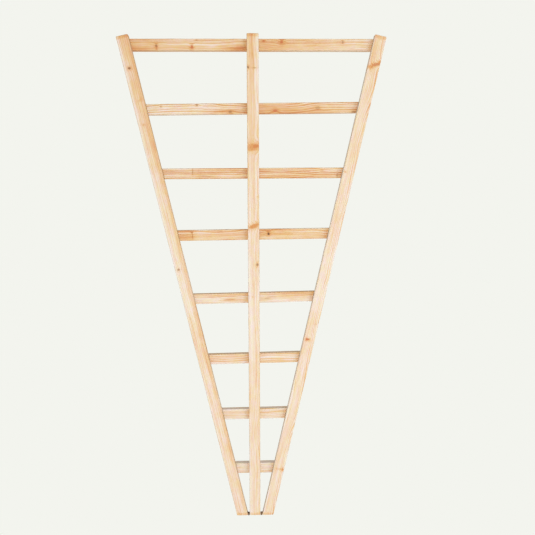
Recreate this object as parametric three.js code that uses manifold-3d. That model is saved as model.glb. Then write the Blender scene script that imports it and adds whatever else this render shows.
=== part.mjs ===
// A flat fan trellis: three uprights that spread like a fan from one foot, with eight level rails screwed
// across their backs. Millimetres, +Z up. The uprights are the front layer (-Y) and the rails are the back
// layer (+Y). The origin is on the ground, in the middle of the trellis's width and depth.

import * as THREE from 'three';
import { mergeVertices } from 'three/addons/utils/BufferGeometryUtils.js';
import Module from 'manifold-3d';

const wasm = await Module();
wasm.setup();

// Driving dimensions ---------------------------------------------------------------------------------

const height = 1800; // ground to the top of the centre stile
const lathDepth = 22; // every lath, front to back
const stileWidth = 42;
const topSpread = 451; // from the middle out to each outer stile's centre line, at full height
const outerStileDrop = 3; // the outer stiles' highest corner lies this far below the centre stile's top
const fitGap = 0.3; // air left between two pieces that touch
const railEndInset = 1; // each rail stops this far inside the outer stiles' outer edges

// Where each stile's centre line meets the ground, and where it is at full height.
const stiles = {
  left: { footX: -53.5, topX: -topSpread, highestCorner: height - outerStileDrop },
  centre: { footX: -5, topX: 2, highestCorner: height },
  right: { footX: 45, topX: topSpread, highestCorner: height - outerStileDrop },
};

// The rails from the top one down: height of the middle, width, and how far the right end is raised.
const rails = [
  { middle: 1767, width: 40, riseDegrees: 0 },
  { middle: 1550, width: 38, riseDegrees: 0.5 },
  { middle: 1322, width: 38, riseDegrees: 0.1 },
  { middle: 1100, width: 39, riseDegrees: 0.5 },
  { middle: 863, width: 38, riseDegrees: 0.8 },
  { middle: 629, width: 39, riseDegrees: 0.9 },
  { middle: 408, width: 41, riseDegrees: 0.5 },
  { middle: 186, width: 41, riseDegrees: 0.1 },
];

// Countersunk wood screws, 4 x 35, one at each crossing, driven in from the back.
const screw = { length: 35, shankRadius: 2, headRadius: 4, headDepth: 2.4, tipLength: 5, sides: 12 };
const screwHeadSink = 0.4; // the head's flat lies this far inside the rail's back face
const holeMouth = 1.5; // how far a hole is cut past the head's flat, which is out past the back face

// The dark packing piece between the centre stile's foot and each outer stile's foot.
const spacer = { height: 10, depth: 10, frontSetback: 1 };

const stileMiddleY = -(lathDepth + fitGap) / 2;
const railMiddleY = (lathDepth + fitGap) / 2;
const railBackY = railMiddleY + lathDepth / 2;

// Materials ------------------------------------------------------------------------------------------

function paleWood(color) {
  return new THREE.MeshStandardMaterial({ color, roughness: 0.75, metalness: 0 });
}

function screwSteel() {
  return new THREE.MeshStandardMaterial({ color: 0xb9a66a, roughness: 0.35, metalness: 1 });
}

// Solids ---------------------------------------------------------------------------------------------

// A closed geometry as a solid that can be cut.
function solidOf(geometry) {
  geometry.deleteAttribute('normal');
  geometry.deleteAttribute('uv');
  const merged = mergeVertices(geometry);
  return new wasm.Manifold(
    new wasm.Mesh({
      numProp: 3,
      vertProperties: merged.attributes.position.array,
      triVerts: Uint32Array.from(merged.index.array),
    }),
  );
}

// A solid as a geometry that a mesh can hold.
function geometryOf(solid) {
  const cut = solid.getMesh();
  const geometry = new THREE.BufferGeometry();
  geometry.setAttribute('position', new THREE.BufferAttribute(cut.vertProperties, 3));
  geometry.setIndex(new THREE.BufferAttribute(cut.triVerts, 1));
  geometry.computeVertexNormals();
  return geometry;
}

// A flat board whose face has the given [x, z] corners, centred on its own y = 0.
function boardGeometry(corners, depth) {
  const outline = new THREE.Shape(corners.map(([x, z]) => new THREE.Vector2(x, z)));
  const geometry = new THREE.ExtrudeGeometry(outline, { depth, bevelEnabled: false });
  geometry.translate(0, 0, -depth / 2);
  geometry.rotateX(Math.PI / 2);
  return geometry;
}

// A screw on the y axis, tip down, with the flat of its head at y = 0. A gap makes it the hole for that
// screw: larger all round, and with a mouth that runs out past the wood's face.
function screwGeometry(gap, mouth) {
  const shank = screw.shankRadius + gap;
  const head = screw.headRadius + gap;
  const tipBottom = -screw.length - gap;
  const profile = [
    new THREE.Vector2(0, tipBottom),
    new THREE.Vector2(shank, tipBottom + screw.tipLength),
    new THREE.Vector2(shank, -screw.headDepth - gap),
    new THREE.Vector2(head, 0),
  ];
  if (mouth > 0) {
    profile.push(new THREE.Vector2(head, mouth));
  }
  profile.push(new THREE.Vector2(0, mouth));
  return new THREE.LatheGeometry(profile, screw.sides);
}

// Layout: where the centre lines and edges lie in the trellis's plane --------------------------------

function leanOf(stile) {
  return Math.atan((stile.topX - stile.footX) / height);
}

// A stile's own line at a sideways distance from its centre line: x = atGround + z * perHeight.
function stileLine(stile, sideways) {
  const lean = leanOf(stile);
  return { atGround: stile.footX + sideways / Math.cos(lean), perHeight: Math.tan(lean) };
}

// How far along a rail's own x axis its edge at z = edge crosses a line of a stile.
function alongRail(rail, edge, line) {
  const rise = THREE.MathUtils.degToRad(rail.riseDegrees);
  const reach = line.atGround + rail.middle * line.perHeight;
  const slant = edge * (Math.cos(rise) * line.perHeight + Math.sin(rise));
  return (reach + slant) / (Math.cos(rise) - Math.sin(rise) * line.perHeight);
}

// Where a rail crosses a stile, on the plane of the rail's back face, sunk by the screw head's depth.
function crossing(rail, stile) {
  const rise = THREE.MathUtils.degToRad(rail.riseDegrees);
  const along = alongRail(rail, 0, stileLine(stile, 0));
  return new THREE.Vector3(
    along * Math.cos(rise),
    railBackY - screwHeadSink,
    rail.middle + along * Math.sin(rise),
  );
}

// Pieces ---------------------------------------------------------------------------------------------

// Cuts the screw holes that pass through a placed mesh.
function drillScrewHoles(mesh, places) {
  mesh.updateMatrixWorld(true);
  let solid = solidOf(mesh.geometry);
  for (const place of places) {
    const local = mesh.worldToLocal(place.clone());
    const hole = screwGeometry(fitGap, holeMouth);
    hole.translate(local.x, local.y, local.z);
    solid = solid.subtract(solidOf(hole));
  }
  mesh.geometry = geometryOf(solid);
}

// An upright, cut level at the foot and square to its own length at the top.
function makeStile(name, stile) {
  const lean = leanOf(stile);
  const half = stileWidth / 2;
  const footRise = half * Math.tan(lean);
  const length = (stile.highestCorner - half * Math.abs(Math.sin(lean))) / Math.cos(lean);
  const corners = [
    [-half, -footRise],
    [half, footRise],
    [half, length],
    [-half, length],
  ];
  const mesh = new THREE.Mesh(boardGeometry(corners, lathDepth), paleWood(0xefdcbc));
  mesh.name = `${name}_stile`;
  mesh.position.set(stile.footX, stileMiddleY, 0);
  mesh.rotation.y = lean;
  drillScrewHoles(mesh, rails.map((rail) => crossing(rail, stile)));
  return mesh;
}

// A rail, with its ends cut in line with the outer stiles' outer edges.
function makeRail(number, rail) {
  const outward = stileWidth / 2 - railEndInset;
  const leftEdge = stileLine(stiles.left, -outward);
  const rightEdge = stileLine(stiles.right, outward);
  const half = rail.width / 2;
  const corners = [
    [alongRail(rail, -half, leftEdge), -half],
    [alongRail(rail, -half, rightEdge), -half],
    [alongRail(rail, half, rightEdge), half],
    [alongRail(rail, half, leftEdge), half],
  ];
  const mesh = new THREE.Mesh(boardGeometry(corners, lathDepth), paleWood(0xe6c79c));
  mesh.name = `rail_${number}`;
  mesh.position.set(0, railMiddleY, rail.middle);
  mesh.rotation.y = -THREE.MathUtils.degToRad(rail.riseDegrees);
  drillScrewHoles(mesh, Object.values(stiles).map((stile) => crossing(rail, stile)));
  return mesh;
}

function makeScrew(railNumber, rail, stileName, stile) {
  const mesh = new THREE.Mesh(screwGeometry(0, 0), screwSteel());
  mesh.name = `screw_${railNumber}_${stileName}`;
  mesh.position.copy(crossing(rail, stile));
  return mesh;
}

// The packing piece that fills the tip of the gap between two feet.
function makeFootSpacer(name, leftLine, rightLine) {
  const edgeAt = (line, z) => line.atGround + z * line.perHeight;
  const corners = [
    [edgeAt(leftLine, 0) + fitGap, 0],
    [edgeAt(rightLine, 0) - fitGap, 0],
    [edgeAt(rightLine, spacer.height) - fitGap, spacer.height],
    [edgeAt(leftLine, spacer.height) + fitGap, spacer.height],
  ];
  const mesh = new THREE.Mesh(boardGeometry(corners, spacer.depth), paleWood(0x6e5236));
  mesh.name = `${name}_foot_spacer`;
  mesh.position.y = stileMiddleY - lathDepth / 2 + spacer.frontSetback + spacer.depth / 2;
  return mesh;
}

// Assembly -------------------------------------------------------------------------------------------

const trellis = new THREE.Group();

for (const [name, stile] of Object.entries(stiles)) {
  trellis.add(makeStile(name, stile));
}

rails.forEach((rail, index) => {
  const number = index + 1;
  trellis.add(makeRail(number, rail));
  for (const [name, stile] of Object.entries(stiles)) {
    trellis.add(makeScrew(number, rail, name, stile));
  }
});

const half = stileWidth / 2;
trellis.add(makeFootSpacer('left', stileLine(stiles.left, half), stileLine(stiles.centre, -half)));
trellis.add(makeFootSpacer('right', stileLine(stiles.centre, half), stileLine(stiles.right, -half)));

export default trellis;
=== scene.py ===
import math
import random

import bmesh
import bpy
from mathutils import Matrix, Vector, noise


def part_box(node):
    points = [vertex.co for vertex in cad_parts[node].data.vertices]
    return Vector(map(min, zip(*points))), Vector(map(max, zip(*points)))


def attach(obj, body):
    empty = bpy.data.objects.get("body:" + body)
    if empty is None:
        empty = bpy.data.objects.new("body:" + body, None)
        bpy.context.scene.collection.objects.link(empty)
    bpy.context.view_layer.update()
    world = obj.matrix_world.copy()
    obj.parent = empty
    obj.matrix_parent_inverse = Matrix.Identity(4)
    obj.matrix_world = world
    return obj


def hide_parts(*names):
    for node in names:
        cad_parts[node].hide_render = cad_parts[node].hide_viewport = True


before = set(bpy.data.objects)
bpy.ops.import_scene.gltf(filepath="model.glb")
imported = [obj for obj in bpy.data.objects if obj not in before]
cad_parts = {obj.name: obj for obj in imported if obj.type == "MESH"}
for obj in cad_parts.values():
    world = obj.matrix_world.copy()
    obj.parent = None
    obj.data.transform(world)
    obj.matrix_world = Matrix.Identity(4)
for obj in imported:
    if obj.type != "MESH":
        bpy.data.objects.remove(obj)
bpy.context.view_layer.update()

MM = 0.001

# Camera -----------------------------------------------------------------------------------------------
# A little above the middle of the trellis, two metres in front of it, looking slightly down.

CAMERA_PLACE = (0.0, -1.988, 1.254)
CAMERA_PITCH = -7.93  # degrees above the horizon
CAMERA_YAW = 1.43  # degrees to the right
CAMERA_ROLL = -0.32  # degrees, the camera's right side towards its top
CAMERA_LENS = 36.4  # millimetres
SENSOR_WIDTH = 36  # millimetres


def make_camera():
    data = bpy.data.cameras.new("camera")
    data.lens = CAMERA_LENS
    data.sensor_width = SENSOR_WIDTH
    camera = bpy.data.objects.new("camera", data)
    bpy.context.scene.collection.objects.link(camera)
    turn = (
        Matrix.Rotation(-math.radians(CAMERA_YAW), 4, "Z")
        @ Matrix.Rotation(math.radians(90 + CAMERA_PITCH), 4, "X")
        @ Matrix.Rotation(math.radians(CAMERA_ROLL), 4, "Z")
    )
    camera.matrix_world = Matrix.Translation(CAMERA_PLACE) @ turn
    bpy.context.scene.camera = camera


# Studio -----------------------------------------------------------------------------------------------
# A pale floor and a pale surround of one colour, a dimmer ceiling, a large soft light in front on the
# right, one low in front, and one behind for the trellis's back.

PALE = (0.896, 0.905, 0.855)  # the surround and the floor
CEILING = (0.57, 0.54, 0.46)
CEILING_FROM, CEILING_TO = 0.40, 0.85  # height of the view direction over which the surround dims
FLOOR_RADIUS = 6.0
FLOOR_SIDES = 96
LIGHT_TARGET = (0.0, 0.0, 0.9)
KEY_PLACE = (3.45, -5.1, 1.95)
KEY_SIZE = 3.6
KEY_POWER = 162.0
KEY_COLOUR = (0.93, 1.0, 1.05)
FILL_PLACE = (0.0, -4.0, 0.3)
FILL_SIZE = 1.0
FILL_POWER = 85.0
FILL_COLOUR = (1.03, 1.0, 0.96)
BACK_PLACE = (0.0, 4.2, 0.9)
BACK_SIZE = 1.6
BACK_POWER = 60.0
BACK_COLOUR = (1.0, 1.0, 1.0)


def make_light(name, place, size, power, colour):
    data = bpy.data.lights.new(name, "AREA")
    data.shape = "DISK"
    data.size = size
    data.energy = power
    data.color = colour
    light = bpy.data.objects.new(name, data)
    light.location = place
    aim = Vector(LIGHT_TARGET) - Vector(place)
    light.rotation_euler = aim.to_track_quat("-Z", "Y").to_euler()
    bpy.context.scene.collection.objects.link(light)


def make_studio():
    scene = bpy.context.scene
    scene.view_settings.view_transform = "Standard"
    world = bpy.data.worlds.new("studio")
    scene.world = world
    world.use_nodes = True
    graph = Graph(world.node_tree)
    background = graph.node("ShaderNodeBackground")
    direction = graph.split(graph.node("ShaderNodeTexCoord").outputs["Generated"])
    upward = graph.smooth(direction[2], CEILING_FROM, CEILING_TO)
    graph.feed(background.inputs["Color"], graph.mix(upward, PALE, CEILING))
    output = graph.node("ShaderNodeOutputWorld")
    graph.feed(output.inputs["Surface"], background.outputs[0])
    make_light("key_light", KEY_PLACE, KEY_SIZE, KEY_POWER, KEY_COLOUR)
    make_light("fill_light", FILL_PLACE, FILL_SIZE, FILL_POWER, FILL_COLOUR)
    make_light("back_light", BACK_PLACE, BACK_SIZE, BACK_POWER, BACK_COLOUR)


def make_floor():
    mesh = bpy.data.meshes.new("floor")
    shape = bmesh.new()
    bmesh.ops.create_circle(shape, cap_ends=True, segments=FLOOR_SIDES, radius=FLOOR_RADIUS)
    shape.to_mesh(mesh)
    shape.free()
    material, graph = new_material("pale_floor")
    glow = graph.node("ShaderNodeEmission")
    glow.inputs["Color"].default_value = (*PALE, 1)
    graph.finish(glow)
    mesh.materials.append(material)
    floor = bpy.data.objects.new("floor", mesh)
    bpy.context.scene.collection.objects.link(floor)


# Node graphs ------------------------------------------------------------------------------------------


class Graph:
    """The nodes of one material, group or world, with a short call for each kind of step."""

    def __init__(self, tree):
        self.tree = tree
        self.tree.nodes.clear()

    def node(self, kind, **settings):
        made = self.tree.nodes.new(kind)
        for name, value in settings.items():
            setattr(made, name, value)
        return made

    def feed(self, socket, value):
        """Puts another node's output, a number, a vector or a colour into a socket."""
        if isinstance(value, bpy.types.NodeSocket):
            self.tree.links.new(value, socket)
        elif socket.type == "RGBA" and len(value) == 3:
            socket.default_value = (*value, 1)
        else:
            socket.default_value = value

    def math(self, operation, *values):
        made = self.node("ShaderNodeMath", operation=operation)
        for socket, value in zip(made.inputs, values):
            self.feed(socket, value)
        return made.outputs[0]

    def add(self, value, amount, total):
        """The total, plus the value times the amount."""
        return self.math("MULTIPLY_ADD", value, amount, total)

    def sway(self, value, amount, total, middle=0.5):
        """The total, plus how far the value is from its middle times the amount."""
        return self.add(self.math("SUBTRACT", value, middle), amount, total)

    def vector(self, operation, *values):
        made = self.node("ShaderNodeVectorMath", operation=operation)
        for socket, value in zip(made.inputs, values):
            self.feed(socket, value)
        return made.outputs["Value" if operation == "LENGTH" else "Vector"]

    def split(self, vector):
        made = self.node("ShaderNodeSeparateXYZ")
        self.feed(made.inputs[0], vector)
        return made.outputs

    def join(self, x, y, z):
        made = self.node("ShaderNodeCombineXYZ")
        for socket, value in zip(made.inputs, (x, y, z)):
            self.feed(socket, value)
        return made.outputs[0]

    def smooth(self, value, low, high, out_low=0.0, out_high=1.0):
        made = self.node("ShaderNodeMapRange", interpolation_type="SMOOTHSTEP")
        for socket, number in zip(made.inputs, (value, low, high, out_low, out_high)):
            self.feed(socket, number)
        return made.outputs[0]

    def mix(self, share, first, second):
        """A colour between the first and the second."""
        made = self.node("ShaderNodeMix", data_type="RGBA")
        for index, value in zip((0, 6, 7), (share, first, second)):
            self.feed(made.inputs[index], value)
        return made.outputs[2]

    def blend(self, share, first, second):
        """A number between the first and the second."""
        made = self.node("ShaderNodeMix", data_type="FLOAT")
        for index, value in zip((0, 2, 3), (share, first, second)):
            self.feed(made.inputs[index], value)
        return made.outputs[0]

    def ramp(self, value, stops):
        """A smooth ramp through (place, colour) stops."""
        made = self.node("ShaderNodeValToRGB")
        ramp = made.color_ramp
        ramp.interpolation = "EASE"
        while len(ramp.elements) < len(stops):
            ramp.elements.new(0.5)
        for element, (place, colour) in zip(ramp.elements, stops):
            element.position = place
            element.color = (*colour, 1)
        self.feed(made.inputs[0], value)
        return made.outputs[0]

    def noise_node(self, vector, cells, detail=2.0, roughness=0.5):
        """A noise texture. The cells are their number per metre, or one number for each axis."""
        if isinstance(cells, tuple):
            vector = self.vector("MULTIPLY", vector, cells)
            cells = 1.0
        made = self.node("ShaderNodeTexNoise")
        self.feed(made.inputs["Vector"], vector)
        made.inputs["Scale"].default_value = cells
        made.inputs["Detail"].default_value = detail
        made.inputs["Roughness"].default_value = roughness
        return made

    def noise(self, vector, cells, detail=2.0, roughness=0.5):
        """A noise value between about 0 and 1."""
        return self.noise_node(vector, cells, detail, roughness).outputs[0]

    def noise_colour(self, vector, cells):
        """Three noise values between about 0 and 1, as a colour."""
        return self.noise_node(vector, cells).outputs["Color"]

    def attribute(self, name, output="Fac"):
        made = self.node("ShaderNodeAttribute", attribute_name=name, attribute_type="GEOMETRY")
        return made.outputs[output]

    def surface(self, colour, roughness, height):
        """A principled shader with a colour, a roughness and a bump of a height in metres."""
        shader = self.node("ShaderNodeBsdfPrincipled")
        self.feed(shader.inputs["Base Color"], colour)
        self.feed(shader.inputs["Roughness"], roughness)
        bump = self.node("ShaderNodeBump")
        bump.inputs["Distance"].default_value = 1.0
        self.feed(bump.inputs["Height"], height)
        self.feed(shader.inputs["Normal"], bump.outputs[0])
        self.finish(shader)
        return shader

    def finish(self, shader):
        output = self.node("ShaderNodeOutputMaterial")
        self.feed(output.inputs["Surface"], shader.outputs[0])


def new_material(name):
    material = bpy.data.materials.new(name)
    material.use_nodes = True
    return material, Graph(material.node_tree)


# Wood -------------------------------------------------------------------------------------------------
# Every lath's mesh carries "place": across the lath, through its depth and along it, in metres; "to_end":
# how far it is to the nearer end; "end_grain": 1 on the ends; and "beside": how far it is to the board
# that crosses on its right or above it, how far to the one on its left or below it, and 1 where it faces
# the layer of those boards. The wood is worked out from these, as rings round a pith line beside the
# lath. Cells are noise cells per metre, across the lath, through it and along it.

TONES = [  # the wood's colour, from pale sapwood to orange heartwood and late wood
    (0.0, (0.576, 0.504, 0.470)),
    (0.2, (0.562, 0.452, 0.378)),
    (0.4, (0.545, 0.394, 0.268)),
    (0.6, (0.524, 0.333, 0.184)),
    (0.8, (0.500, 0.271, 0.122)),
    (1.0, (0.430, 0.185, 0.070)),
]
TONE_SPAN = 1.25  # the tone at the last of those colours

# Rings.
SEED_SHIFT = (1.7, 0.9, 3.1)  # how far one step of the seed moves the noises, in metres
BEND_CELLS = (7.0, 7.0, 3.6)
BEND = (22 * MM, 22 * MM, 0.0)  # how far the rings wander sideways
WIDTH_CELLS = 0.9  # cells per ring, for rings of uneven width
WIDTH_CHANGE = 1.8  # rings
JITTER_CELLS = (500.0, 500.0, 22.0)
JITTER = 0.30  # rings, by which their borders are ragged
LATE_FROM, LATE_FULL, LATE_END = 0.35, 0.90, 0.93  # the late wood's shares of a ring
LATE_NEUTRAL = 0.22  # how far into the late wood the rings leave the tone as it is
YEAR_CELLS = 3.7  # cells per ring, for rings of uneven strength
WEAK_YEAR, STRONG_YEAR = 0.35, 1.30

# Grain between the rings: its cells, and how much it changes the tone.
GRAIN = {
    "fibre": ((1600.0, 1600.0, 34.0), 0.30),
    "thread": ((430.0, 430.0, 15.0), 0.55),
    "streak": ((125.0, 125.0, 4.0), 0.90),
    "patch": ((60.0, 60.0, 20.0), 0.55),
}
FLECK_CELLS = (700.0, 700.0, 42.0)
FLECK_TONE = 0.22

# The look's tones, whose borders wander across the lath and along it by a share of its size.
BORDER_CELLS = (3.0, 3.0, 9.0)
BORDER_ACROSS = 0.5
BORDER_ALONG = 0.06
MIDDLE_ENDS, SIDE_BEGINS = 0.50, 0.88  # shares of the width

# Wear, soaked ends and the painted warm shade beside crossing boards.
EDGE_REACH = 3.2 * MM  # how far the wear of an edge reaches onto the faces
EDGE_FULL = 1.2 * MM  # how near the edge it is at its strongest
EDGE_RAGGED = 2.0 * MM  # how far its border wanders
EDGE_TONE = 0.16
END_REACH = 15 * MM  # how far the ends have soaked up and darkened
END_RAGGED = 14 * MM  # how far that border wanders
END_TONE = 0.34
GRIME = (0.40, 0.26, 0.15)
PAINTED_SHADE_TINT = (1.16, 1.02, 0.86)  # painted shade: how the warm tint of the shadow beside a crossing board changes the colour
PAINTED_SHADE_REACH = 16 * MM
WEAKER_PAINTED_SHADE = 0.15  # painted shade on the right of, or above, the crossing board, where less shadow falls
HUE_CELLS = (95.0, 95.0, 34.0)
YELLOWER = (1.00, 1.025, 0.87)
PINKER = (1.01, 0.97, 1.01)

# Knots.
KNOT_COLOURS = {
    "dark": (0.110, 0.045, 0.020),
    "brown": (0.230, 0.105, 0.045),
    "red": (0.400, 0.120, 0.045),
    "orange": (0.460, 0.195, 0.060),
}
KNOT_RAGGED_CELLS = 240.0
KNOT_TONE = 0.32  # how much the wood round a knot darkens
KNOT_RING_WAVES = 16.0  # radians per radius of the knot
KNOT_RINGS = 0.10  # on average, how much of the knot's colour its own rings take away

# End grain.
CRACK_CELLS = 420.0
END_DARK, END_PALE = (0.36, 0.21, 0.10), (0.50, 0.34, 0.19)
END_RINGS = (0.30, 0.15, 0.06)
END_COVER = 0.85

# Gloss and relief.
ROUGHNESS = 0.74
FIBRE_RELIEF = 0.05 * MM
LATE_RELIEF = 0.04 * MM
CRACK_RELIEF = 0.25 * MM
KNOT_RELIEF = -0.06 * MM


def knot_group():
    """One knot, as a group: how deep a place is in its core, in the tan halo round it and in the swelling
    that bends the rings, and how far it is from the middle in radii."""
    tree = bpy.data.node_groups.new("knot", "ShaderNodeTree")
    for name, kind in (
        ("Place", "NodeSocketVector"),
        ("Centre", "NodeSocketVector"),
        ("Radii", "NodeSocketVector"),
        ("Turn", "NodeSocketFloat"),
    ):
        tree.interface.new_socket(name, in_out="INPUT", socket_type=kind)
    for name in ("Core", "Halo", "Swell", "Distance"):
        tree.interface.new_socket(name, in_out="OUTPUT", socket_type="NodeSocketFloat")
    graph = Graph(tree)
    given = graph.node("NodeGroupInput").outputs
    result = graph.node("NodeGroupOutput").inputs
    offset = graph.vector("SUBTRACT", given["Place"], given["Centre"])
    turned = graph.node("ShaderNodeVectorRotate", rotation_type="Y_AXIS")
    graph.feed(turned.inputs["Vector"], offset)
    graph.feed(turned.inputs["Angle"], given["Turn"])
    scaled = graph.vector("DIVIDE", turned.outputs[0], given["Radii"])
    ragged = graph.noise(given["Place"], KNOT_RAGGED_CELLS, detail=3.0)
    distance = graph.sway(ragged, 1.0, graph.vector("LENGTH", scaled))
    graph.feed(result["Core"], graph.smooth(distance, 1.2, 0.65))
    graph.feed(result["Halo"], graph.smooth(distance, 2.8, 0.9))
    squared = graph.math("MULTIPLY", distance, distance)
    graph.feed(result["Swell"], graph.math("EXPONENT", graph.math("MULTIPLY", squared, -0.30)))
    graph.feed(result["Distance"], distance)
    return tree


def add_knots(graph, place, knots):
    """A group node for each knot. A knot is (across, along, radius across, radius along, degrees, kind,
    strength), in millimetres, with the degrees turning it on the face."""
    found = []
    for across, along, radius_across, radius_along, degrees, kind, strength in knots:
        made = graph.node("ShaderNodeGroup", node_tree=KNOT_GROUP)
        graph.feed(made.inputs["Place"], place)
        graph.feed(made.inputs["Centre"], (across * MM, 0.0, along * MM))
        through = 4 * max(radius_across, radius_along)
        graph.feed(made.inputs["Radii"], (radius_across * MM, through * MM, radius_along * MM))
        graph.feed(made.inputs["Turn"], math.radians(degrees))
        swelling = 0.9 * min(radius_across, radius_along) * MM * strength
        found.append((made.outputs, KNOT_COLOURS[kind], strength, swelling))
    return found


def add_rings(graph, place, shifted, wood, knots):
    """Rings round the pith, which wander along the lath and are pushed aside by the knots. Gives how far
    a point is into the late wood of its ring, and the noise that makes the rings' borders ragged."""
    bend = graph.vector("SUBTRACT", graph.noise_colour(shifted, BEND_CELLS), (0.5, 0.5, 0.5))
    pith_across, pith_depth = wood["pith"]
    from_pith = graph.vector("ADD", place, graph.vector("MULTIPLY", bend, BEND))
    from_pith = graph.vector("SUBTRACT", from_pith, (pith_across * MM, pith_depth * MM, 0.0))
    radius = graph.vector("LENGTH", graph.vector("MULTIPLY", from_pith, (1.0, 1.0, 0.0)))
    for outputs, _, _, swelling in knots:
        radius = graph.add(outputs["Swell"], swelling, radius)
    ring = graph.math("DIVIDE", radius, wood["ring"] * MM)
    uneven = graph.noise(graph.join(ring, wood["seed"], 0.0), WIDTH_CELLS, detail=1.0)
    ring = graph.add(uneven, WIDTH_CHANGE, ring)
    jitter = graph.noise(shifted, JITTER_CELLS)
    ring = graph.add(jitter, JITTER, ring)
    part = graph.math("FRACT", ring)
    rise = graph.smooth(part, LATE_FROM, LATE_FULL)
    late = graph.math("MULTIPLY", rise, graph.smooth(part, 1.0, LATE_END))
    year = graph.noise(graph.join(graph.math("FLOOR", ring), wood["seed"], 0.0), YEAR_CELLS, detail=0.0)
    strength = graph.smooth(year, 0.25, 0.70, WEAK_YEAR, STRONG_YEAR)
    return graph.math("MULTIPLY", late, strength), jitter


def tone_across(graph, wood, level, share):
    """The tone that the look gives: rows of (share along, tone at the left or lower edge, in the middle,
    at the right or upper edge), blended along the lath and across it."""
    rows = [(place, tuple(tone / TONE_SPAN for tone in tones)) for place, *tones in wood["tones"]]
    low, middle, high = graph.split(graph.ramp(share, rows))
    upper_half = graph.smooth(level, MIDDLE_ENDS, SIDE_BEGINS)
    lower_half = graph.smooth(level, 1 - MIDDLE_ENDS, 1 - SIDE_BEGINS)
    blended = graph.blend(upper_half, middle, high)
    return graph.math("MULTIPLY", graph.blend(lower_half, blended, low), TONE_SPAN)


def look_tone(graph, place, shifted, wood, board):
    """The look's tone at a place, with its borders made uneven."""
    across, _, along = graph.split(place)
    wobble = graph.split(graph.noise_colour(shifted, BORDER_CELLS))
    level = graph.math("ADD", graph.math("DIVIDE", across, board.width), 0.5)
    level = graph.sway(wobble[0], BORDER_ACROSS, level)
    share = graph.math("DIVIDE", graph.math("SUBTRACT", along, board.first_along), board.length)
    share = graph.sway(wobble[1], BORDER_ALONG, share)
    return tone_across(graph, wood, level, share)


def edge_wear(graph, place, board, patch):
    """How worn a place is: 1 at the lath's long edges."""
    across, depth, _ = graph.split(place)
    to_side = graph.math("SUBTRACT", board.width / 2, graph.math("ABSOLUTE", across))
    to_face = graph.math("SUBTRACT", board.depth / 2, graph.math("ABSOLUTE", depth))
    from_edge = graph.add(patch, EDGE_RAGGED, graph.math("ADD", to_side, to_face))
    return graph.smooth(from_edge, EDGE_REACH, EDGE_FULL)


def add_painted_shade(graph, colour):
    """Painted shade: beside a board that crosses this one, the wood is tinted the warmer orange of the
    shadow that board casts, most on its left or below it.
    """
    first, second, towards = graph.split(graph.attribute("beside", "Vector"))
    painted_shade = graph.math("MULTIPLY", graph.smooth(second, PAINTED_SHADE_REACH, 0.0), WEAKER_PAINTED_SHADE)
    painted_shade = graph.math("MAXIMUM", painted_shade, graph.smooth(first, PAINTED_SHADE_REACH, 0.0))
    painted_shade = graph.math("MULTIPLY", painted_shade, graph.smooth(towards, 0.55, 0.95))
    return graph.mix(painted_shade, colour, graph.vector("MULTIPLY", colour, PAINTED_SHADE_TINT))


def colour_knots(graph, colour, knots):
    """The colour with the knots' cores on it, with faint rings of their own."""
    for outputs, core_colour, strength, _ in knots:
        wave = graph.math("SINE", graph.math("MULTIPLY", outputs["Distance"], KNOT_RING_WAVES))
        cover = graph.add(wave, KNOT_RINGS, 1 - KNOT_RINGS)
        cover = graph.math("MULTIPLY", cover, graph.math("MULTIPLY", outputs["Core"], strength))
        colour = graph.mix(cover, colour, core_colour)
    return colour


def colour_ends(graph, colour, end, crack, late):
    """End grain takes more dirt and shows darker, with drying cracks."""
    end_colour = graph.mix(graph.smooth(crack, 0.35, 0.75), END_DARK, END_PALE)
    end_colour = graph.mix(graph.math("MULTIPLY", late, 0.55), end_colour, END_RINGS)
    return graph.mix(graph.math("MULTIPLY", end, END_COVER), colour, end_colour)


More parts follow.
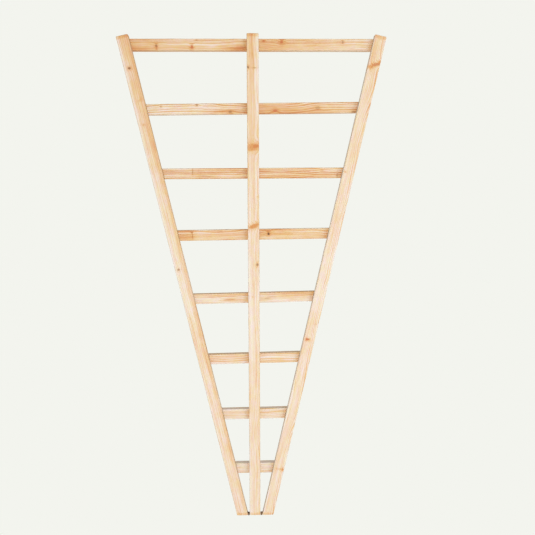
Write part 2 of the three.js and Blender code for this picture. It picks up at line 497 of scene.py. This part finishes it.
def wood_material(name, wood, board):
    """A planed softwood. The look says where the pith lies, how far apart the rings are, how the tone
    changes over the lath, and which knots it has."""
    material, graph = new_material(name)
    place = graph.attribute("place", "Vector")
    shifted = graph.vector("ADD", place, tuple(wood["seed"] * step for step in SEED_SHIFT))
    knots = add_knots(graph, place, wood["knots"])
    late, jitter = add_rings(graph, place, shifted, wood, knots)
    grain = {
        kind: graph.noise(shifted, cells, detail=3.0, roughness=0.6) for kind, (cells, _) in GRAIN.items()
    }

    # The tone: the look's, then rings, grain, flecks and the darker wood round knots.
    tone = look_tone(graph, place, shifted, wood, board)
    tone = graph.sway(late, wood["ring_strength"], tone, LATE_NEUTRAL)
    for kind, (_, amount) in GRAIN.items():
        tone = graph.sway(grain[kind], amount, tone)
    fleck = graph.smooth(graph.noise(shifted, FLECK_CELLS), 0.66, 0.76)
    tone = graph.add(fleck, FLECK_TONE, tone)
    for outputs, _, strength, _ in knots:
        tone = graph.add(outputs["Halo"], KNOT_TONE * strength, tone)

    # Worn long edges and soaked ends are darker.
    edge = edge_wear(graph, place, board, grain["patch"])
    tone = graph.add(edge, EDGE_TONE, tone)
    to_end = graph.sway(grain["streak"], END_RAGGED, graph.attribute("to_end"))
    tone = graph.add(graph.smooth(to_end, END_REACH, 0.5 * END_REACH), END_TONE, tone)
    colour = graph.ramp(graph.math("DIVIDE", tone, TONE_SPAN), TONES)

    # Some patches are pinker and some yellower.
    hue = graph.noise(shifted, HUE_CELLS, detail=3.0, roughness=0.65)
    tint = graph.mix(graph.smooth(hue, 0.34, 0.66), YELLOWER, PINKER)
    # The painted warm shade beside the crossing boards.
    colour = add_painted_shade(graph, graph.vector("MULTIPLY", colour, tint))
    colour = colour_knots(graph, colour, knots)

    # The ends, and the grime in the edges.
    across, depth, _ = graph.split(place)
    end = graph.attribute("end_grain")
    crack = graph.noise(graph.join(across, depth, 0.0), CRACK_CELLS, detail=4.0, roughness=0.7)
    colour = colour_ends(graph, colour, end, crack, late)
    grime = graph.math("MULTIPLY", edge, graph.smooth(jitter, 0.35, 0.75, 0.10, 0.55))
    colour = graph.mix(grime, colour, GRIME)

    # Late wood and worn edges are glossier.
    roughness = graph.add(edge, -0.08, graph.add(late, -0.10, ROUGHNESS))
    roughness = graph.add(grain["fibre"], 0.12, roughness)

    # Fine relief: raised fibres, proud late rings, sunk cracks on the ends and sunk knots.
    relief = graph.add(late, LATE_RELIEF, graph.math("MULTIPLY", grain["fibre"], FIBRE_RELIEF))
    relief = graph.add(graph.math("MULTIPLY", crack, end), CRACK_RELIEF, relief)
    for outputs, _, strength, _ in knots:
        relief = graph.add(outputs["Core"], KNOT_RELIEF * strength, relief)
    shader = graph.surface(colour, roughness, relief)
    shader.inputs["IOR"].default_value = 1.45
    shader.inputs["Specular IOR Level"].default_value = 0.30
    return material


# Each lath's wood. Tones are rows of (share of the way along it, tone at its left or lower edge, in its
# middle, at its right or upper edge): along a stile from the foot up, along a rail from left to right.
# Knots are placed in mm from the middle line and from the foot of a stile or the middle of a rail.


def look(seed, pith, ring, tones, knots=(), ring_strength=0.60):
    return {
        "seed": seed,
        "pith": pith,
        "ring": ring,
        "tones": tones,
        "knots": knots,
        "ring_strength": ring_strength,
    }


LOOKS = {
    "left_stile": look(
        1,
        pith=(-46, 30),
        ring=3.0,
        tones=[
            (0.00, 0.33, 0.32, 0.42),
            (0.21, 0.26, 0.32, 0.58),
            (0.29, 0.25, 0.32, 0.52),
            (0.38, 0.26, 0.38, 0.74),
            (0.49, 0.02, 0.12, 0.55),
            (0.67, 0.14, 0.38, 0.60),
            (0.79, 0.24, 0.46, 0.75),
            (1.00, 0.30, 0.62, 0.73),
        ],
        knots=[
            (-2, 1723, 6.0, 5.0, 0, "brown", 1.0),
            (-7, 1000, 6.5, 5.0, 0, "brown", 0.75),
            (-2, 1528, 6.0, 5.0, 0, "orange", 0.40),
            (8, 1612, 9.0, 4.0, 20, "orange", 0.30),
        ],
    ),
    "centre_stile": look(
        2,
        pith=(38, 56),
        ring=3.2,
        tones=[
            (0.00, 0.27, 0.23, 0.45),
            (0.30, 0.35, 0.37, 0.41),
            (0.42, 0.16, 0.14, 0.31),
            (0.55, 0.24, 0.26, 0.39),
            (0.70, 0.45, 0.32, 0.27),
            (0.78, 0.49, 0.51, 0.33),
            (0.87, 0.56, 0.49, 0.14),
            (1.00, 0.68, 0.60, 0.27),
        ],
        knots=[
            (-17, 1686, 5.0, 5.0, 0, "dark", 0.80),
            (6, 1684, 9.0, 2.0, 0, "brown", 0.50),
            (9, 1416, 12.0, 7.0, 8, "red", 1.0),
            (-1, 1414, 24.0, 12.0, 4, "orange", 0.65),
            (-8, 1403, 14.0, 2.0, 0, "orange", 0.60),
            (1, 1132, 20.0, 8.0, 24, "orange", 1.0),
            (16, 1237, 3.5, 3.5, 0, "orange", 0.70),
            (13, 991, 6.5, 5.0, 60, "brown", 0.75),
            (-5, 871, 4.0, 3.0, 0, "orange", 0.40),
        ],
    ),
    "right_stile": look(
        3,
        pith=(30, -55),
        ring=3.2,
        tones=[
            (0.00, 0.28, 0.23, 0.28),
            (0.22, 0.16, 0.21, 0.33),
            (0.40, 0.27, 0.27, 0.34),
            (0.49, 0.00, 0.02, 0.10),
            (0.63, 0.25, 0.31, 0.20),
            (0.72, 0.18, 0.33, 0.28),
            (0.80, 0.17, 0.25, 0.41),
            (0.90, 0.16, 0.26, 0.44),
            (0.97, 0.41, 0.40, 0.38),
        ],
        knots=[
            (6, 1739, 14.0, 5.5, 26, "red", 0.80),
            (-12, 1727, 9.0, 6.0, 30, "orange", 0.80),
            (17, 1750, 6.0, 5.0, 40, "orange", 0.70),
            (-13, 1355, 4.0, 3.5, 0, "orange", 0.70),
            (-8, 723, 9.0, 5.0, 0, "red", 0.95),
            (12, 787, 4.0, 3.0, 0, "red", 0.35),
            (15, 197, 6.0, 5.0, 0, "orange", 0.90),
            (-2, 196, 12.0, 3.0, 0, "orange", 0.35),
        ],
    ),
    "rail_1": look(
        4,
        pith=(-62, 46),
        ring=4.6,
        tones=[
            (0.03, 1.07, 0.85, 0.66),
            (0.20, 0.60, 0.54, 0.42),
            (0.33, 0.65, 0.32, 0.66),
            (0.46, 1.04, 0.60, 0.55),
            (0.56, 0.88, 0.79, 0.74),
            (0.70, 0.51, 0.67, 0.68),
            (0.83, 0.49, 0.54, 0.33),
            (0.94, 0.64, 0.40, 0.16),
        ],
        knots=[
            (-4, -335, 6.0, 4.5, 0, "brown", 0.90),
            (-13, -335, 5.0, 3.0, 0, "red", 0.55),
            (-8, -211, 7.0, 5.5, 0, "red", 1.0),
            (15, -194, 2.5, 4.5, 0, "brown", 0.70),
            (-12, -42, 7.0, 22.0, -8, "red", 0.45),
            (12, 40, 3.5, 6.5, 0, "red", 0.90),
            (9, 104, 6.5, 7.0, 0, "red", 1.0),
            (9, 319, 6.0, 4.0, 0, "brown", 0.60),
            (17, -340, 2.0, 50.0, 0, "orange", 0.35),
        ],
        ring_strength=0.70,
    ),
    "rail_2": look(
        5,
        pith=(55, 52),
        ring=5.2,
        tones=[
            (0.00, 0.32, 0.17, 0.43),
            (0.25, 0.35, 0.14, 0.47),
            (0.42, 0.69, 0.52, 0.68),
            (0.56, 0.95, 0.64, 0.65),
            (0.75, 0.92, 0.70, 0.59),
            (0.90, 0.64, 0.33, 0.46),
            (1.00, 0.68, 0.34, 0.54),
        ],
        knots=[
            (9, -326, 3.5, 3.5, 0, "brown", 0.75),
            (14, -198, 4.0, 5.0, 0, "brown", 0.85),
            (-9, -104, 2.4, 34.0, -3, "orange", 0.75),
            (-11, -80, 4.5, 8.0, 0, "brown", 0.75),
            (-9, 80, 5.5, 9.0, 0, "red", 0.90),
            (-1, 232, 5.0, 11.0, 0, "brown", 0.40),
            (-16, 362, 2.5, 9.0, 0, "brown", 0.75),
        ],
        ring_strength=0.90,
    ),
    "rail_3": look(
        6,
        pith=(-58, 44),
        ring=5.5,
        tones=[
            (0.00, 0.36, 0.50, 0.54),
            (0.20, 0.44, 0.50, 0.52),
            (0.24, 0.70, 0.54, 0.74),
            (0.42, 0.62, 0.43, 0.85),
            (0.58, 0.77, 0.41, 0.80),
            (0.75, 0.90, 0.50, 0.74),
            (1.00, 0.58, 0.28, 0.57),
        ],
        knots=[
            (7, -218, 11.0, 1.8, 0, "brown", 0.55),
            (-9, -170, 2.0, 30.0, 4, "brown", 0.35),
            (-8, 306, 9.0, 3.0, 0, "brown", 0.40),
            (8, 250, 4.0, 7.0, 0, "red", 0.30),
        ],
        ring_strength=0.90,
    ),
    "rail_4": look(
        7,
        pith=(-30, 64),
        ring=3.8,
        tones=[
            (0.00, 0.70, 0.80, 0.66),
            (0.14, 0.92, 0.86, 0.62),
            (0.19, 0.56, 0.60, 0.34),
            (0.34, 0.75, 0.72, 0.59),
            (0.46, 0.82, 0.74, 0.67),
            (0.60, 0.64, 0.83, 0.78),
            (0.80, 0.82, 0.70, 0.48),
            (1.00, 0.78, 0.66, 0.50),
        ],
        knots=[
            (12, -226, 5.0, 2.5, 0, "dark", 0.60),
            (0, -224, 15.0, 1.2, 0, "brown", 0.50),
            (2, 55, 5.5, 5.0, 0, "dark", 1.0),
        ],
        ring_strength=0.75,
    ),
    "rail_5": look(
        8,
        pith=(-66, 40),
        ring=5.0,
        tones=[
            (0.00, 0.36, 0.20, 0.56),
            (0.20, 0.39, 0.08, 0.56),
            (0.40, 0.40, 0.42, 0.80),
            (0.58, 0.16, 0.43, 0.69),
            (0.80, 0.23, 0.59, 0.83),
            (1.00, 0.34, 0.66, 0.86),
        ],
        knots=[
            (-5, -92, 2.5, 22.0, 0, "red", 0.65),
            (-4, 48, 2.5, 10.0, 0, "brown", 0.40),
            (2, 66, 1.6, 16.0, 0, "brown", 0.35),
        ],
        ring_strength=0.85,
    ),
    "rail_6": look(
        9,
        pith=(60, 50),
        ring=5.6,
        tones=[
            (0.00, 0.25, 0.35, 0.54),
            (0.40, 0.27, 0.37, 0.53),
            (0.60, 0.65, 0.04, 0.59),
            (0.85, 0.71, 0.00, 0.58),
            (1.00, 0.62, 0.14, 0.54),
        ],
    ),
    "rail_7": look(
        10,
        pith=(-55, 44),
        ring=5.0,
        tones=[
            (0.00, 0.12, 0.30, 0.04),
            (0.45, 0.20, 0.32, 0.08),
            (1.00, 0.30, 0.32, 0.16),
        ],
    ),
    "rail_8": look(
        11,
        pith=(50, 50),
        ring=5.0,
        tones=[
            (0.00, 0.22, 0.10, 0.00),
            (1.00, 0.38, 0.14, 0.00),
        ],
    ),
}


# Laths ------------------------------------------------------------------------------------------------

EDGE_RADIUS = 2.5 * MM
END_RADIUS = 3.2 * MM
SPACER_EDGE_RADIUS = 0.5 * MM
SPACER_END_RADIUS = 0.8 * MM
RADIUS_CHANGE = 0.45  # the share by which an eased edge's radius changes along it
ARC_STEPS = 4
END_STEPS = 4
HOLD = 0.5 * MM  # from an eased edge to the first line on the flat face beside it
FACE_LINES = 5  # lines between those two on a wide face
EDGE_LINES = 2  # and on a narrow one
RING_STEP = 7 * MM  # between the rings of points along a lath
CAP_SCALES = (0.82, 0.6, 0.35, 0.12)
UNEVEN = 0.22 * MM  # how far a planed face dips below flat
CAP_UNEVEN = 0.3 * MM
QUARTERS = ((1, 1), (-1, 1), (-1, -1), (1, -1))  # a section's corners, anticlockwise
FAR = 1.0  # stands for no crossing board


class Board:
    """A straight board's place, read from its CAD node: the four corners of its face, its own axes, and
    the length along which its grain runs."""

    def __init__(self, node, upright):
        self.upright = upright
        points = [v.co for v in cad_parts[node].data.vertices]
        low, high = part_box(node)
        self.front, self.back = low.y, high.y
        self.depth = high.y - low.y

        def corner(rightward, upward):
            found = max(points, key=lambda p: rightward * p.x + upward * p.z).copy()
            found.y = (low.y + high.y) / 2
            return found

        low_left, low_right = corner(-1, -1), corner(1, -1)
        high_left, high_right = corner(-1, 1), corner(1, 1)
        if upright:
            self.start, self.end = (low_left, low_right), (high_left, high_right)
        else:
            self.start, self.end = (low_left, high_left), (low_right, high_right)
        self.along = (self.end[0] - self.start[0]).normalized()
        spread = self.start[1] - self.start[0]
        self.across = (spread - spread.dot(self.along) * self.along).normalized()
        self.width = spread.dot(self.across)
        first, last = (sum(pair, Vector()) / 2 for pair in (self.start, self.end))
        self.length = (last - first).length
        self.origin = first if upright else (first + last) / 2
        self.first_along = 0.0 if upright else -self.length / 2

    def place(self, point):
        """Where a point of the object lies in the board's own axes: across, through, along."""
        offset = point - self.origin
        return Vector((offset.dot(self.across), offset.y, offset.dot(self.along)))

    def to_end(self, point):
        """How far a point is from the nearer end's plane."""
        distances = []
        for left, right in (self.start, self.end):
            edge = (right - left).normalized()
            distances.append(abs((point - left).dot(Vector((edge.z, 0, -edge.x)))))
        return min(distances)


def section(half_width, half_depth, radii):
    """The points round a board's section, as (across, through), with eased corners."""
    arcs = []
    for index, ((side, face), radius) in enumerate(zip(QUARTERS, radii)):
        across, through = side * (half_width - radius), face * (half_depth - radius)
        angles = [math.radians(90 * (index + step / ARC_STEPS)) for step in range(ARC_STEPS + 1)]
        arcs.append(
            [(across + radius * math.cos(angle), through + radius * math.sin(angle)) for angle in angles]
        )
    points = []
    for index, arc in enumerate(arcs):
        points.extend(arc)
        start = Vector(arc[-1])
        run = Vector(arcs[(index + 1) % 4][0]) - start
        hold = HOLD / run.length
        lines = FACE_LINES if index % 2 == 0 else EDGE_LINES
        for line in range(lines + 2):
            share = hold + (1 - 2 * hold) * line / (lines + 1)
            points.append(tuple(start + run * share))
    return points


def stations(length, radius):
    """Pairs of (distance from the board's start, how far the section is drawn in there)."""
    eased = []
    for step in range(END_STEPS + 1):
        angle = math.radians(90 * step / END_STEPS)
        eased.append((radius * (1 - math.cos(angle)), radius * (1 - math.sin(angle))))
    count = max(2, round((length - 2 * radius) / RING_STEP))
    middle = [(radius + (length - 2 * radius) * step / count, 0.0) for step in range(1, count)]
    return eased + middle + [(length - distance, inset) for distance, inset in reversed(eased)]


def closed_mesh(name, points, faces):
    """A mesh whose faces all look outwards."""
    mesh = bpy.data.meshes.new(name)
    mesh.from_pydata([tuple(point) for point in points], [], faces)
    shape = bmesh.new()
    shape.from_mesh(mesh)
    bmesh.ops.recalc_face_normals(shape, faces=shape.faces)
    shape.to_mesh(mesh)
    shape.free()
    return mesh


def wall_faces(rings, around):
    """The faces between rings of points that are numbered ring by ring."""
    faces = []
    for ring in range(rings - 1):
        low, high = ring * around, (ring + 1) * around
        for step in range(around):
            following = (step + 1) % around
            faces.append((low + step, low + following, high + following, high + step))
    return faces


def bumpy(point, cells, shift):
    """A noise between 0 and 1 at a point, with a number of cells per metre."""
    return 0.5 + 0.5 * noise.noise(point * cells + Vector(shift))


def ring_points(board, seed, share, inset, radii):
    """The points round a board at a share of its length, with its faces not quite flat."""
    left = board.start[0].lerp(board.end[0], share)
    right = board.start[1].lerp(board.end[1], share)
    centre, half = (left + right) / 2, (right - left) / 2
    half_width, half_depth = board.width / 2, board.depth / 2
    points = []
    for across, through in section(half_width - inset, half_depth - inset, radii):
        point = centre + half * (across / half_width) + Vector((0, through, 0))
        dip = bumpy(point, 17, (seed, 0, 0))
        ripple = bumpy(point, 90, (0, seed, 0))
        inward = UNEVEN * (0.7 * dip + 0.3 * ripple)
        if abs(across / half_width) > abs(through / half_depth):
            push = half.normalized() * -math.copysign(inward, across)
        else:
            push = Vector((0, -math.copysign(inward, through), 0))
        points.append(point + push)
    return points


def close_end(points, faces, first, around, inward, seed):
    """Closes a board's end with smaller and smaller rings of points, and one small face."""
    outer = list(range(first, first + around))
    rim = [points[index].copy() for index in outer]
    middle = sum(rim, Vector()) / around
    for scale in CAP_SCALES:
        inner = []
        for point in rim:
            moved = middle.lerp(point, scale)
            inner.append(len(points))
            points.append(moved + inward * CAP_UNEVEN * bumpy(moved, 160, (0, 0, seed)))
        for step in range(around):
            following = (step + 1) % around
            faces.append((outer[step], outer[following], inner[following], inner[step]))
        outer = inner
    faces.append(tuple(outer))


def board_mesh(name, board, seed, edge_radius=EDGE_RADIUS, end_radius=END_RADIUS):
    """A planed board with eased edges of slightly changing size, faces that aren't quite flat, and ends
    closed by rings of points."""
    points = []
    rings = stations(board.length, end_radius)
    for distance, inset in rings:
        radii = []
        for corner in range(4):
            change = noise.noise(Vector((distance * 22, corner * 7.3, seed * 5.1)))
            radii.append(edge_radius * (1 + RADIUS_CHANGE * change))
        points.extend(ring_points(board, seed, distance / board.length, inset, radii))
    around = len(points) // len(rings)
    faces = wall_faces(len(rings), around)
    close_end(points, faces, 0, around, board.along, seed)
    close_end(points, faces, (len(rings) - 1) * around, around, -board.along, seed)
    return closed_mesh(name, points, faces)


def cut(mesh, cutter):
    """The mesh with the cutter's solids taken out of it."""
    body = bpy.data.objects.new("body", mesh)
    tool = bpy.data.objects.new("tool", cutter)
    for thing in (body, tool):
        bpy.context.scene.collection.objects.link(thing)
    modifier = body.modifiers.new("cut", "BOOLEAN")
    modifier.object = tool
    modifier.operation = "DIFFERENCE"
    modifier.solver = "EXACT"
    evaluated = body.evaluated_get(bpy.context.evaluated_depsgraph_get())
    result = bpy.data.meshes.new_from_object(evaluated)
    for thing in (body, tool):
        bpy.data.objects.remove(thing)
    return result


def beside(point, board, crossing):
    """The distances past the edges of the nearest crossing boards on either side, and how far through the
    board a point is towards their layer: -1 at the far face and 1 at theirs."""
    gaps = [FAR, FAR]
    for other in crossing:
        across = other.place(point).x
        side = 0 if across < 0 else 1
        gaps[side] = min(gaps[side], abs(across) - other.width / 2)
    middle = (board.front + board.back) / 2
    towards = -1 if board.upright else 1
    return Vector((gaps[0], gaps[1], (middle - point.y) * towards / (board.depth / 2)))


def mark_wood(mesh, board, crossing):
    """Writes for the material each point's place in the board, its distances to the nearer end and to the
    boards that cross this one, and which faces are end grain."""
    mesh.attributes.new("place", "FLOAT_VECTOR", "POINT")
    mesh.attributes.new("beside", "FLOAT_VECTOR", "POINT")
    mesh.attributes.new("to_end", "FLOAT", "POINT")
    mesh.attributes.new("end_grain", "FLOAT", "FACE")
    names = ("place", "beside", "to_end", "end_grain")
    places, besides, to_end, end_grain = (mesh.attributes[name] for name in names)
    for index, vertex in enumerate(mesh.vertices):
        places.data[index].vector = board.place(vertex.co)
        besides.data[index].vector = beside(vertex.co, board, crossing)
        to_end.data[index].value = board.to_end(vertex.co)
    for index, face in enumerate(mesh.polygons):
        end_grain.data[index].value = 1.0 if abs(face.normal.dot(board.along)) > 0.85 else 0.0
    mesh.shade_smooth()


def add_piece(name, mesh, material, node):
    mesh.materials.clear()
    mesh.materials.append(material)
    piece = bpy.data.objects.new(name, mesh)
    bpy.context.scene.collection.objects.link(piece)
    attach(piece, "root")
    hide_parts(node)


# Screws -----------------------------------------------------------------------------------------------

HEAD_RADIUS = 4.0 * MM
HEAD_DEPTH = 2.4 * MM
HEAD_RIM = 0.25 * MM  # the head's thin edge
RIM_SLOPE = 0.6
HEAD_ROWS = (0.0, -0.12 * MM, -HEAD_RIM, -0.9 * MM, -1.6 * MM, -HEAD_DEPTH)
SHANK_RADIUS = 1.45 * MM
THREAD_RADIUS = 2.0 * MM
THREAD_PITCH = 1.8 * MM
THREAD_FROM = 9 * MM
THREAD_HALF_WIDTH = 0.28  # pitches
ROWS_PER_PITCH = 5
TIP_LENGTH = 5 * MM
TIP_BLUNTNESS = 0.04
SCREW_LENGTH = 35 * MM
SCREW_SIDES = 20
RECESS_REACH = 2.1 * MM
RECESS_HALF = 0.42 * MM
RECESS_LEVELS = ((0.3 * MM, 1.08), (-1.045 * MM, 0.78), (-1.9 * MM, 0.42))  # (height, scale)
HOLE_GAP = 0.3 * MM
HOLE_MOUTH = 1.5 * MM  # how far the cutter reaches past the head's flat
HOLE_TIP_RADIUS = 0.3 * MM
HOLE_SIDES = 24


def lathe(name, rows, sides, radius_at):
    """A closed solid round the y axis. Each row is a height on it, and a fan of faces closes each end."""
    points = []
    for height in rows:
        for side in range(sides):
            angle = math.tau * side / sides
            radius = radius_at(height, angle)
            points.append((radius * math.cos(angle), height, radius * math.sin(angle)))
    faces = wall_faces(len(rows), sides)
    for row in (0, len(rows) - 1):
        centre = len(points)
        points.append((0.0, rows[row], 0.0))
        for side in range(sides):
            faces.append((row * sides + side, row * sides + (side + 1) % sides, centre))
    return closed_mesh(name, points, faces)


def screw_radius(height, angle):
    """The screw's radius at a height below its flat head, which is at height 0."""
    below = -height
    if below < HEAD_RIM:
        return HEAD_RADIUS - (HEAD_RIM - below) * RIM_SLOPE
    if below < HEAD_DEPTH:
        share = (below - HEAD_RIM) / (HEAD_DEPTH - HEAD_RIM)
        return HEAD_RADIUS + (SHANK_RADIUS - HEAD_RADIUS) * share
    if below < THREAD_FROM:
        return SHANK_RADIUS
    turn = (below / THREAD_PITCH + angle / math.tau) % 1.0
    ridge = max(0.0, 1 - abs(turn - 0.5) / THREAD_HALF_WIDTH)
    start = min(1.0, (below - THREAD_FROM) / THREAD_PITCH)
    taper = min(1.0, max(TIP_BLUNTNESS, (SCREW_LENGTH - below) / TIP_LENGTH))
    return (SHANK_RADIUS + (THREAD_RADIUS - SHANK_RADIUS) * ridge * start) * taper


def recess_mesh():
    """The cross that a driver fits, as a tapering solid to be cut out of the head."""
    arm = [(RECESS_REACH, -RECESS_HALF), (RECESS_REACH, RECESS_HALF), (RECESS_HALF, RECESS_HALF)]
    outline = []
    for _ in range(4):
        outline.extend(arm)
        arm = [(-z, x) for x, z in arm]
    points = [(x * scale, height, z * scale) for height, scale in RECESS_LEVELS for x, z in outline]
    count = len(outline)
    faces = [tuple(range(count)), tuple(range(2 * count, 3 * count))]
    faces.extend(wall_faces(len(RECESS_LEVELS), count))
    return closed_mesh("recess", points, faces)


def screw_mesh():
    threaded = SCREW_LENGTH - THREAD_FROM
    count = round(threaded / (THREAD_PITCH / ROWS_PER_PITCH))
    threaded_rows = [-(THREAD_FROM + threaded * step / count) for step in range(1, count + 1)]
    rows = [*HEAD_ROWS, -THREAD_FROM, *threaded_rows]
    mesh = cut(lathe("screw", rows, SCREW_SIDES, screw_radius), recess_mesh())
    place = mesh.attributes.new("place", "FLOAT_VECTOR", "POINT")
    for index, vertex in enumerate(mesh.vertices):
        place.data[index].vector = vertex.co
    mesh.shade_flat()
    return mesh


def hole_radius(height, angle):
    """The radius of a screw's hole at a height below the head's flat."""
    below = -height
    if below <= 0:
        return HEAD_RADIUS + HOLE_GAP
    if below < HEAD_DEPTH + HOLE_GAP:
        share = below / (HEAD_DEPTH + HOLE_GAP)
        return HEAD_RADIUS + HOLE_GAP + (THREAD_RADIUS - HEAD_RADIUS) * share
    if below < SCREW_LENGTH - TIP_LENGTH:
        return THREAD_RADIUS + HOLE_GAP
    return HOLE_TIP_RADIUS


def holes_mesh(places):
    """All of a board's screw holes, as one cutting mesh."""
    shoulder = -HEAD_DEPTH - HOLE_GAP
    taper_from = -SCREW_LENGTH + 1.01 * TIP_LENGTH  # just above the tip, still at full radius
    rows = [HOLE_MOUTH, 0.0, shoulder, taper_from, -SCREW_LENGTH - HOLE_GAP]
    single = lathe("hole", rows, HOLE_SIDES, hole_radius)
    joined = bmesh.new()
    for place in places:
        single.transform(Matrix.Translation(place))
        joined.from_mesh(single)
        single.transform(Matrix.Translation(-place))
    result = bpy.data.meshes.new("holes")
    joined.to_mesh(result)
    joined.free()
    return result


ZINC_YELLOW, ZINC_PALE = (0.62, 0.47, 0.20), (0.68, 0.60, 0.42)
ZINC_GRIME = (0.20, 0.16, 0.10)


def screw_material():
    """Yellow-passivated zinc: a metal whose tint and gloss change a little over the surface."""
    material, graph = new_material("yellow_zinc")
    place = graph.attribute("place", "Vector")
    cloud = graph.noise(place, 420.0, detail=4.0)
    grime = graph.noise(place, 1300.0, detail=5.0, roughness=0.65)
    tint = graph.mix(graph.smooth(cloud, 0.3, 0.7), ZINC_YELLOW, ZINC_PALE)
    worn = graph.mix(graph.smooth(grime, 0.55, 0.80), tint, ZINC_GRIME)
    shader = graph.surface(worn, graph.add(grime, 0.35, 0.18), graph.math("MULTIPLY", grime, 0.03 * MM))
    shader.inputs["Metallic"].default_value = 1.0
    return material


# Foot spacers -----------------------------------------------------------------------------------------

SPACER_COLOURS = [
    (0.25, (0.050, 0.024, 0.010)),
    (0.55, (0.100, 0.052, 0.024)),
    (0.85, (0.230, 0.130, 0.062)),
]
SPACER_PAINTED_LIGHT = {"left": 0.0, "right": 0.45}  # painted light: how much paler each one is on its right, its lit side


def spacer_material(name, painted_light_share):
    """A very dark scrap of wood, with painted light: paler on its right, the lit side, by a share."""
    material, graph = new_material(name)
    place = graph.attribute("place", "Vector")
    fibre = graph.noise(place, (900.0, 900.0, 90.0), detail=4.0, roughness=0.6)
    # Painted light: paler towards the right, the side the light falls on.
    level = graph.smooth(graph.split(place)[0], -1.0 * MM, 3.5 * MM, 0.0, painted_light_share)
    colour = graph.ramp(graph.math("ADD", fibre, level), SPACER_COLOURS)
    graph.surface(colour, graph.add(fibre, 0.2, 0.68), graph.math("MULTIPLY", fibre, 0.2 * MM))
    return material


# Assembly ---------------------------------------------------------------------------------------------

STILE_NAMES = ("left", "centre", "right")
RAIL_COUNT = 8
TURN_SEED = 7  # for the angles at which the screws' recesses stand


def head_place(node):
    """The middle of a screw head's flat."""
    low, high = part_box(node)
    return Vector(((low.x + high.x) / 2, high.y, (low.z + high.z) / 2))


def make_laths():
    stiles = {side: Board(f"{side}_stile", upright=True) for side in STILE_NAMES}
    rails = {rail: Board(f"rail_{rail}", upright=False) for rail in range(1, RAIL_COUNT + 1)}
    for side, board in stiles.items():
        screws = [head_place(f"screw_{rail}_{side}") for rail in rails]
        make_lath(f"{side}_stile", board, screws, rails.values())
    for rail, board in rails.items():
        screws = [head_place(f"screw_{rail}_{side}") for side in stiles]
        make_lath(f"rail_{rail}", board, screws, stiles.values())


def make_lath(node, board, screws, crossing):
    wood = LOOKS[node]
    mesh = cut(board_mesh(node, board, wood["seed"]), holes_mesh(screws))
    mark_wood(mesh, board, crossing)
    material = wood_material(f"{node}_wood", wood, board)
    add_piece(f"{node}_lath", mesh, material, node)


def make_screws():
    shared = screw_mesh()
    material = screw_material()
    turns = random.Random(TURN_SEED)
    for rail in range(1, RAIL_COUNT + 1):
        for side in STILE_NAMES:
            node = f"screw_{rail}_{side}"
            mesh = shared.copy()
            turn = Matrix.Rotation(turns.uniform(0, math.tau), 4, "Y")
            mesh.transform(Matrix.Translation(head_place(node)) @ turn)
            add_piece(f"wood_{node}", mesh, material, node)


def make_spacers():
    for seed, (side, painted_light_share) in enumerate(SPACER_PAINTED_LIGHT.items()):
        node = f"{side}_foot_spacer"
        material = spacer_material(f"{side}_dark_wood", painted_light_share)
        board = Board(node, upright=True)
        mesh = board_mesh(node, board, seed, SPACER_EDGE_RADIUS, SPACER_END_RADIUS)
        mark_wood(mesh, board, [])
        add_piece(f"{side}_spacer_wedge", mesh, material, node)


KNOT_GROUP = knot_group()
make_camera()
make_studio()
make_floor()
make_laths()
make_screws()
make_spacers()
